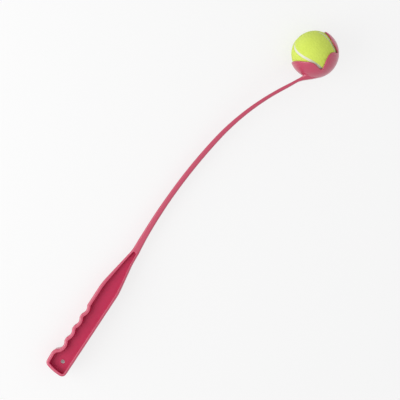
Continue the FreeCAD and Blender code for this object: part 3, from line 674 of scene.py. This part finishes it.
# %% Cloth panels
CLOTH_ROWS, CLOTH_COLUMNS = 221, 120
NAP_WAVES, NAP_SIZE, NAP_LIFT, NAP_SPREAD = 90, 1.6, 0.11, (0.7, 3.0)
HAIRS, HAIR_LENGTH, HAIR_WIDTH, HAIR_LEAN, HAIR_SINK = 9000, 0.75, 0.055, 0.75, 0.15
LENGTH_SPREAD, LEAN_SPREAD = (0.5, 1.4), (0.3, 1.3)
BARE_ROWS, BARE_COLUMNS, SPOTS_PER_HAIR = 4, 3, 3
SEED = 20


def nap(points, rng):
    """Lift of the nap: the sum of cosines over planes in random directions, scaled to a spread of one."""
    ways = unit(rng.normal(size=(NAP_WAVES, 3)))
    ways = ways * (2 * math.pi / (NAP_SIZE * rng.uniform(*NAP_SPREAD, NAP_WAVES)))[:, None]
    phases = rng.uniform(0, 2 * math.pi, NAP_WAVES)
    total = sum(np.cos(points @ wave + phase) for wave, phase in zip(ways, phases))
    return total * math.sqrt(2 / NAP_WAVES)


def arcs(first, last, share):
    """Points on the great circles between two rows of directions, evenly by angle."""
    angle = np.arccos(np.clip(np.sum(first * last, axis=-1), -1, 1))[:, None, None]
    angle = np.maximum(angle, 1e-6)
    mix = np.sin((1 - share) * angle) * first[:, None] + np.sin(share * angle) * last[:, None]
    return unit(mix / np.sin(angle))


def closer_at_ends(count):
    """Shares from 0 to 1, closer together at both ends: half even steps, half those of a cosine."""
    even = np.linspace(0, 1, count)
    return even / 2 + (1 - np.cos(math.pi * even)) / 4


def cloth_panel(turned):
    """One panel's closed sheet, its face alone, and the random numbers that go on from there."""
    rng = np.random.default_rng(SEED + turned)
    t = -math.pi / 4 + math.pi * closer_at_ends(CLOTH_ROWS)
    border, other = seam(t, CLOTH_ASIDE), seam(-math.pi / 2 - t, CLOTH_ASIDE)
    face = arcs(border, other, closer_at_ends(CLOTH_COLUMNS)[None, :, None])
    line = seam(np.linspace(0, 2 * math.pi, BORDER_SAMPLES, endpoint=False), CLOTH_ASIDE)
    nearest = np.max(face.reshape(-1, 3) @ line.T, axis=1).reshape(face.shape[:2])
    edge = np.clip(BALL_RADIUS * np.arccos(np.clip(nearest, -1, 1)) / CLOTH_ROUND, 0, 1)
    radius = BALL_RADIUS - CLOTH_ROUND * (1 - np.sqrt(1 - (1 - edge) ** 2))
    if turned:
        face = face @ np.array([[0.0, 1.0, 0.0], [-1.0, 0.0, 0.0], [0.0, 0.0, -1.0]]).T
    lift = NAP_LIFT * nap(face * BALL_RADIUS, rng) * edge
    top = ball_points(face, radius + lift)
    under_it = ball_points(face, np.full(radius.shape, CLOTH_BASE))
    loop = np.concatenate([top, under_it[:, ::-1], top[:, :1]], axis=1)
    return loop, top, rng


def hairs(top, rng):
    """Spikes on a triangular foot, each at a random spot and with a random lean. Spots are kept in
    proportion to the area of their cell, so that the hairs stand equally dense everywhere."""
    row = rng.integers(BARE_ROWS, top.shape[0] - BARE_ROWS, HAIRS * SPOTS_PER_HAIR)
    column = rng.integers(BARE_COLUMNS, top.shape[1] - BARE_COLUMNS, HAIRS * SPOTS_PER_HAIR)
    corner = top[row, column]
    way_u, way_v = top[row + 1, column] - corner, top[row, column + 1] - corner
    area = np.linalg.norm(np.cross(way_u, way_v), axis=1)
    kept = rng.uniform(0, area.max(), len(area)) < area
    corner, way_u, way_v = corner[kept][:HAIRS], way_u[kept][:HAIRS], way_v[kept][:HAIRS]
    one_each = (len(corner), 1)
    at = corner + rng.uniform(size=one_each) * way_u + rng.uniform(size=one_each) * way_v
    outward = unit(at - BALL_CENTRE)
    side = unit(np.cross(outward, rng.normal(size=at.shape)))
    third = np.cross(outward, side)
    length = HAIR_LENGTH * rng.uniform(*LENGTH_SPREAD, one_each)
    lean_by = rng.uniform(*LEAN_SPREAD, one_each)
    tip = at + length * (outward * math.cos(HAIR_LEAN) + side * math.sin(HAIR_LEAN) * lean_by)
    foot = at - outward * HAIR_SINK
    angles = np.array([0.0, 2.0, 4.0]) * math.pi / 3
    round_foot = np.cos(angles)[:, None] * side[:, None] + np.sin(angles)[:, None] * third[:, None]
    feet = foot[:, None] + HAIR_WIDTH * round_foot
    points = np.concatenate([feet, tip[:, None]], axis=1).reshape(-1, 3)
    first = 4 * np.arange(len(at))[:, None, None]
    faces = (first + np.array([[0, 1, 3], [1, 2, 3], [2, 0, 3], [0, 2, 1]])).reshape(-1, 3)
    return points, faces


def with_hairs(item, points, faces):
    """The object's mesh with the hairs added to it."""
    form = bmesh.new()
    form.from_mesh(item.data)
    fuzz = bpy.data.meshes.new("fuzz")
    fuzz.from_pydata(from_plan(points), [], faces.tolist())
    form.from_mesh(fuzz)
    form.to_mesh(item.data)
    form.free()
    bpy.data.meshes.remove(fuzz)
    item.data.shade_smooth()


cloth = []
for turned, name in enumerate(("cloth_a", "cloth_b")):
    loop, top, rng = cloth_panel(turned)
    panel = skin(name, [loop])
    with_hairs(panel, *hairs(top, rng))
    print(name, sum(len(face.vertices) - 2 for face in panel.data.polygons), "triangles")
    cloth.append(panel)

# %% [markdown]
# The white line of a tennis ball is rubber that oozed out of the joint when the ball was pressed and
# cured. It stays a little below the nap and is hollow across.

# %% Seam
seam_t = np.linspace(0, 2 * math.pi, SEAM_RINGS)
across = np.linspace(-1, 1, SEAM_COLUMNS)
strip = np.stack([seam(seam_t, SEAM_HALF * step) for step in across], axis=1)
low = BALL_RADIUS - SEAM_SINK - SEAM_HOLLOW * (1 - across ** 2)
loop = np.concatenate([ball_points(strip, np.broadcast_to(low, strip.shape[:2])),
                       ball_points(strip[:, ::-1], np.full(strip.shape[:2], CLOTH_BASE))], axis=1)
loop = np.concatenate([loop, loop[:, :1]], axis=1)
seam_piece = skin("seam_line", [loop])
seam_piece.data.shade_smooth()
seam_piece.data.set_sharp_from_angle(angle=CORNER_ANGLE)

# %% [markdown]
# Materials are node trees. Wiring them by hand hides the maths, so a small class wraps a socket and lets
# Python's own operators add the Math nodes: what is written as `rough + 0.1 * speckle` is what the
# shader works out. Colours take the Mix node instead, because Math nodes turn a colour grey.

# %% Shader arithmetic
class Wire:
    """A number that a node puts out. Each operator adds one Math node."""

    def __init__(self, finish, socket):
        self.finish = finish
        self.socket = socket

    def maths(self, operation, *values):
        """A Math node of this operation, on numbers and on other wires."""
        node = self.finish.node("ShaderNodeMath", {"operation": operation}, dict(enumerate(values)))
        return Wire(self.finish, node.outputs[0])

    def __add__(self, other):
        return self.maths("ADD", self, other)

    def __radd__(self, other):
        return self.maths("ADD", other, self)

    def __sub__(self, other):
        return self.maths("SUBTRACT", self, other)

    def __rsub__(self, other):
        return self.maths("SUBTRACT", other, self)

    def __mul__(self, other):
        return self.maths("MULTIPLY", self, other)

    def __rmul__(self, other):
        return self.maths("MULTIPLY", other, self)

    def __truediv__(self, other):
        return self.maths("DIVIDE", self, other)

    def clipped(self):
        """The number kept between 0 and 1."""
        return self.maths("MINIMUM", self.maths("MAXIMUM", self, 0.0), 1.0)


class Tree:
    """The nodes of a material or of the world, and the means to add others."""

    def __init__(self, owner):
        owner.use_nodes = True
        self.tree = owner.node_tree

    def link(self, value, socket):
        """Connects a wire or a node's socket, or sets a plain value."""
        if isinstance(value, Wire):
            self.tree.links.new(value.socket, socket)
        elif isinstance(value, bpy.types.NodeSocket):
            self.tree.links.new(value, socket)
        else:
            socket.default_value = value

    def node(self, kind, settings=None, inputs=None):
        """Adds a node: its settings first, then the values or the links of its sockets."""
        node = self.tree.nodes.new(kind)
        for name, value in (settings or {}).items():
            setattr(node, name, value)
        for name, value in (inputs or {}).items():
            self.link(value, node.inputs[name])
        return node

    def seen(self):
        """1 for what the camera sees, also in a reflection or through glass, else 0."""
        rays = self.node("ShaderNodeLightPath").outputs
        seen = Wire(self, rays["Is Camera Ray"])
        for kind in ("Is Glossy Ray", "Is Transmission Ray"):
            seen = seen.maths("MAXIMUM", seen, rays[kind])
        return seen


class Finish(Tree):
    """A material with one Principled shader."""

    def __init__(self, name):
        self.material = bpy.data.materials.new(name)
        super().__init__(self.material)
        self.shader = self.tree.nodes["Principled BSDF"]

    def place(self):
        """The place on the piece, in its own metres."""
        return self.node("ShaderNodeTexCoord").outputs["Object"]

    def noise(self, size, detail=3.0, roughness=0.5, vector=None):
        """A noise whose blobs are about this many metres across, from 0 to 1."""
        inputs = {"Vector": vector or self.place(), "Scale": 1.0 / size, "Detail": detail,
                  "Roughness": roughness}
        return Wire(self, self.node("ShaderNodeTexNoise", None, inputs).outputs["Fac"])

    def mix(self, share, first, second):
        """A colour between two, at a share from 0 to 1."""
        node = self.node("ShaderNodeMix", {"data_type": "RGBA"}, {"Factor": share})
        colours = [socket for socket in node.inputs if socket.type == "RGBA"]
        self.link(first, colours[0])
        self.link(second, colours[1])
        return next(socket for socket in node.outputs if socket.type == "RGBA")

    def bump(self, height, distance):
        """A normal for a surface that this height lifts by up to this many metres."""
        return self.node("ShaderNodeBump", None, {"Distance": distance, "Height": height}).outputs["Normal"]

    def paint(self, **inputs):
        """Sets sockets of the shader, whose spaces are written as underscores."""
        for name, value in inputs.items():
            self.link(value, self.shader.inputs[name.replace("_", " ")])
        return self.material


def colour(red, green, blue):
    """A colour picked on a screen, from 0 to 255, as the linear light that shaders count in."""
    parts = np.array([red, green, blue]) / 255
    linear = np.where(parts <= 0.04045, parts / 12.92, ((parts + 0.055) / 1.055) ** 2.4)
    return (*linear.tolist(), 1.0)


# %% [markdown]
# The moulding is polypropylene, coloured right through. It leaves a fine-blasted steel mould, so it has a
# soft gloss, and it is a little scuffed where it is held. Noise at three sizes does that: grain in the
# bump, scuffs in the roughness, and slow flow marks in the colour. The tray keeps the matt skin of the
# mould's core, while the outside is polished by hands, which is a clear coat here.

# %% Crimson plastic
PLASTIC = ((174, 8, 66), (186, 14, 76))


def launcher_plastic():
    """Crimson polypropylene, glossier outside than in its trays."""
    finish = Finish("launcher_plastic")
    flow = finish.noise(0.07, detail=2.0)
    grain = finish.noise(0.0009, detail=2.0, roughness=0.6)
    scuff = finish.noise(0.006, detail=5.0, roughness=0.65)
    in_tray = finish.node("ShaderNodeAttribute", {"attribute_name": "tray"})
    outer = 1.0 - Wire(finish, in_tray.outputs["Fac"])
    body = finish.mix(flow, colour(*PLASTIC[0]), colour(*PLASTIC[1]))
    rough = 0.52 + 0.12 * scuff - 0.1 * outer
    return finish.paint(Base_Color=body, Roughness=rough.clipped(), Normal=finish.bump(grain, 0.00005),
                        IOR=1.49, Coat_Weight=outer.clipped(), Coat_Roughness=0.35, Coat_IOR=1.65,
                        Subsurface_Weight=0.05, Subsurface_Radius=(0.004, 0.001, 0.001))


# %% [markdown]
# A tennis ball's cloth is wool and nylon on a woven back, with its nap raised. Close to, it is a mat of
# tangled hairs; from further off it is a soft, slightly blotchy yellow-green with a bright edge. The
# hollows of the nap are painted a darker green here, as painted shade.

# %% Ball cloth
# The first colour is painted shade for the nap's hollows; the others are the felt's own tones.
FELT_PAINTED_SHADE, FELT_LIGHT = (194, 212, 76), ((222, 240, 106), (234, 250, 122))


def ball_felt():
    """Yellow-green felt: nap in the bump, painted shade in the colour where the nap is low, and slow
    blotches of tone.
    """
    finish = Finish("ball_felt")
    nap_and_shade = finish.noise(0.0011, detail=5.0, roughness=0.7)
    tufts = finish.noise(0.004, detail=3.0, roughness=0.6)
    blotches = finish.noise(0.02, detail=2.0)
    light = finish.mix(blotches, colour(*FELT_LIGHT[0]), colour(*FELT_LIGHT[1]))
    # Painted shade: the darker green is mixed in where the nap's bump is low, as shade in its hollows.
    shade = finish.mix((nap_and_shade * 1.6 - 0.3).clipped(), colour(*FELT_PAINTED_SHADE), light)
    fuzz = finish.bump(nap_and_shade + 0.8 * tufts, 0.0005)
    return finish.paint(Base_Color=shade, Roughness=0.95, Normal=fuzz, Specular_IOR_Level=0.2,
                        Sheen_Weight=0.3, Sheen_Roughness=0.5, Sheen_Tint=(0.9, 1.0, 0.6, 1.0))


# %% [markdown]
# The seam is pale rubber with a little dust in it. The core is black rubber and is only seen if the cloth
# is taken off.

# %% Rubber
SEAM_DARK, SEAM_PALE = (206, 206, 184), (232, 232, 214)
CORE_DARK, CORE_PALE = (34, 33, 33), (52, 51, 50)


def rubber(name, dark, pale, size, roughness):
    """Rubber with dust on it: noise of this size, between the two colours and in the bump."""
    finish = Finish(name)
    dust = finish.noise(size, detail=4.0)
    return finish.paint(Base_Color=finish.mix(dust, colour(*dark), colour(*pale)),
                        Roughness=roughness, Normal=finish.bump(dust, 0.0002))


FINISHES = {"launcher_plastic": launcher_plastic(), "ball_felt": ball_felt(),
            "seam_rubber": rubber("seam_rubber", SEAM_DARK, SEAM_PALE, size=0.002, roughness=0.7),
            "core_rubber": rubber("core_rubber", CORE_DARK, CORE_PALE, size=0.003, roughness=0.65)}
slots = {row["node"]: row["material_slot"] for row in frame["record"]["subparts"]}
for name, node in frame["nodes"].items():
    node.data.materials.clear()
    node.data.materials.append(FINISHES[slots[name]])
pieces = [(moulding, "launcher", "launcher"), (cloth[0], "felt_panel_a", "ball"),
          (cloth[1], "felt_panel_b", "ball"), (seam_piece, "ball_seam", "ball")]
for piece, name, body in pieces:
    piece.data.materials.clear()
    piece.data.materials.append(FINISHES[slots[name]])
    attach(piece, body)
    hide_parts(name)
    print(piece.name, "replaces", name, "on", body, "in", slots[name])

# %% [markdown]
# The picture is taken square to the bend from almost two metres, with a long lens, so that the launcher
# fills a square frame corner to corner. The camera's axes are worked out from the plan: the arm climbs
# towards the upper right.

# %% Camera
PICTURE_HEADING = math.radians(49.8)
PICTURE_CENTRE = np.array([326.0, -3.45, 0.0])
PICTURE_WIDTH = 587.6 * MM
CAMERA_DISTANCE = 1.8
SENSOR = 36.0

camera_data = bpy.data.cameras.new("camera")
camera_data.sensor_width = SENSOR
camera_data.lens = SENSOR * CAMERA_DISTANCE / PICTURE_WIDTH
camera_data.clip_end = 20.0
camera = placed("camera", camera_data)
right = math.cos(PICTURE_HEADING) * ALONG - math.sin(PICTURE_HEADING) * ACROSS
up = math.sin(PICTURE_HEADING) * ALONG + math.cos(PICTURE_HEADING) * ACROSS
stand = from_plan(PICTURE_CENTRE) + CAMERA_DISTANCE * SQUARE
camera.matrix_world = Matrix([[*row, at] for row, at in zip(np.stack([right, up, SQUARE]).T, stand)]
                             + [[0, 0, 0, 1]])
bpy.context.scene.camera = camera
print("lens", round(camera_data.lens, 1), "mm")

# %% [markdown]
# The light is that of a white tent: the sky all round is even, and one large lamp at the picture's left,
# a little low, gives the soft modelling. The sky looks brighter in reflections than it lights, as the
# walls of a tent do to a camera. The floor is white paper with some glow of its own, which is mixed with
# its lit surface, so that it stays white and still keeps the shadow. The glow stops in the small patch
# that the camera sees through the hang hole, so that the hole isn't white.

# %% Lights and floor
SKY_LIGHT, SKY_SEEN = 0.66, 1.0
PAPER_GLOW = 0.72
HOLE_SHADE, HOLE_EDGE = 3.6 * MM, 0.8 * MM
FLOOR_REACH = 6.0


def lamp(name, towards, distance, size, power):
    """A square soft lamp that stands off from the picture's middle, along a mix of the picture's right
    and up and of the way to the camera, and faces that middle."""
    way = towards[0] * right + towards[1] * up + towards[2] * SQUARE
    way = way / np.linalg.norm(way)
    data = bpy.data.lights.new(name, "AREA")
    data.size = size
    data.energy = power
    item = placed(name, data)
    item.location = from_plan(PICTURE_CENTRE) + distance * way
    item.rotation_euler = Vector(way).to_track_quat("Z", "Y").to_euler()


def studio_sky():
    """Even white, at one strength for what the eye sees and another for what lights the scene."""
    world = bpy.data.worlds.new("studio")
    sky = Tree(world)
    shine = sky.tree.nodes["Background"].inputs
    sky.link((1.0, 1.0, 1.0, 1.0), shine["Color"])
    sky.link(SKY_LIGHT + (SKY_SEEN - SKY_LIGHT) * sky.seen(), shine["Strength"])
    bpy.context.scene.world = world


def floor_paper(hole):
    """White paper with some glow of its own, but none at the patch that is seen through the hole."""
    finish = Finish("floor_paper")
    white = finish.node("ShaderNodeEmission", None, {"Color": (1, 1, 1, 1), "Strength": 1.0})
    away = finish.node("ShaderNodeVectorMath", {"operation": "DISTANCE"}, {0: finish.place(), 1: hole})
    clear = ((Wire(finish, away.outputs["Value"]) - HOLE_SHADE) / HOLE_EDGE).clipped()
    finish.paint(Base_Color=(0.9, 0.9, 0.9, 1.0), Roughness=0.9)
    both = finish.node("ShaderNodeMixShader", None, {0: finish.seen() * clear * PAPER_GLOW,
                                                     1: finish.shader.outputs[0], 2: white.outputs[0]})
    finish.link(both.outputs[0], finish.tree.nodes["Material Output"].inputs["Surface"])
    return finish.material


lamp("key", towards=(-1.0, -0.15, 0.95), distance=1.5, size=1.3, power=16.0)
studio_sky()

eye = np.array(camera.matrix_world.translation)
hole = np.array(hang_hole["pos_m"])
under_hole = hole + (hole - eye) * hole[2] / (eye[2] - hole[2])
floor_mesh = bpy.data.meshes.new("floor")
corners = [(x * FLOOR_REACH, y * FLOOR_REACH, 0) for x, y in ((-1, -1), (1, -1), (1, 1), (-1, 1))]
floor_mesh.from_pydata(corners, [], [(0, 1, 2, 3)])
floor_mesh.materials.append(floor_paper(tuple(under_hole.tolist())))
floor = placed("floor", floor_mesh)
bpy.context.scene.view_settings.view_transform = "Standard"
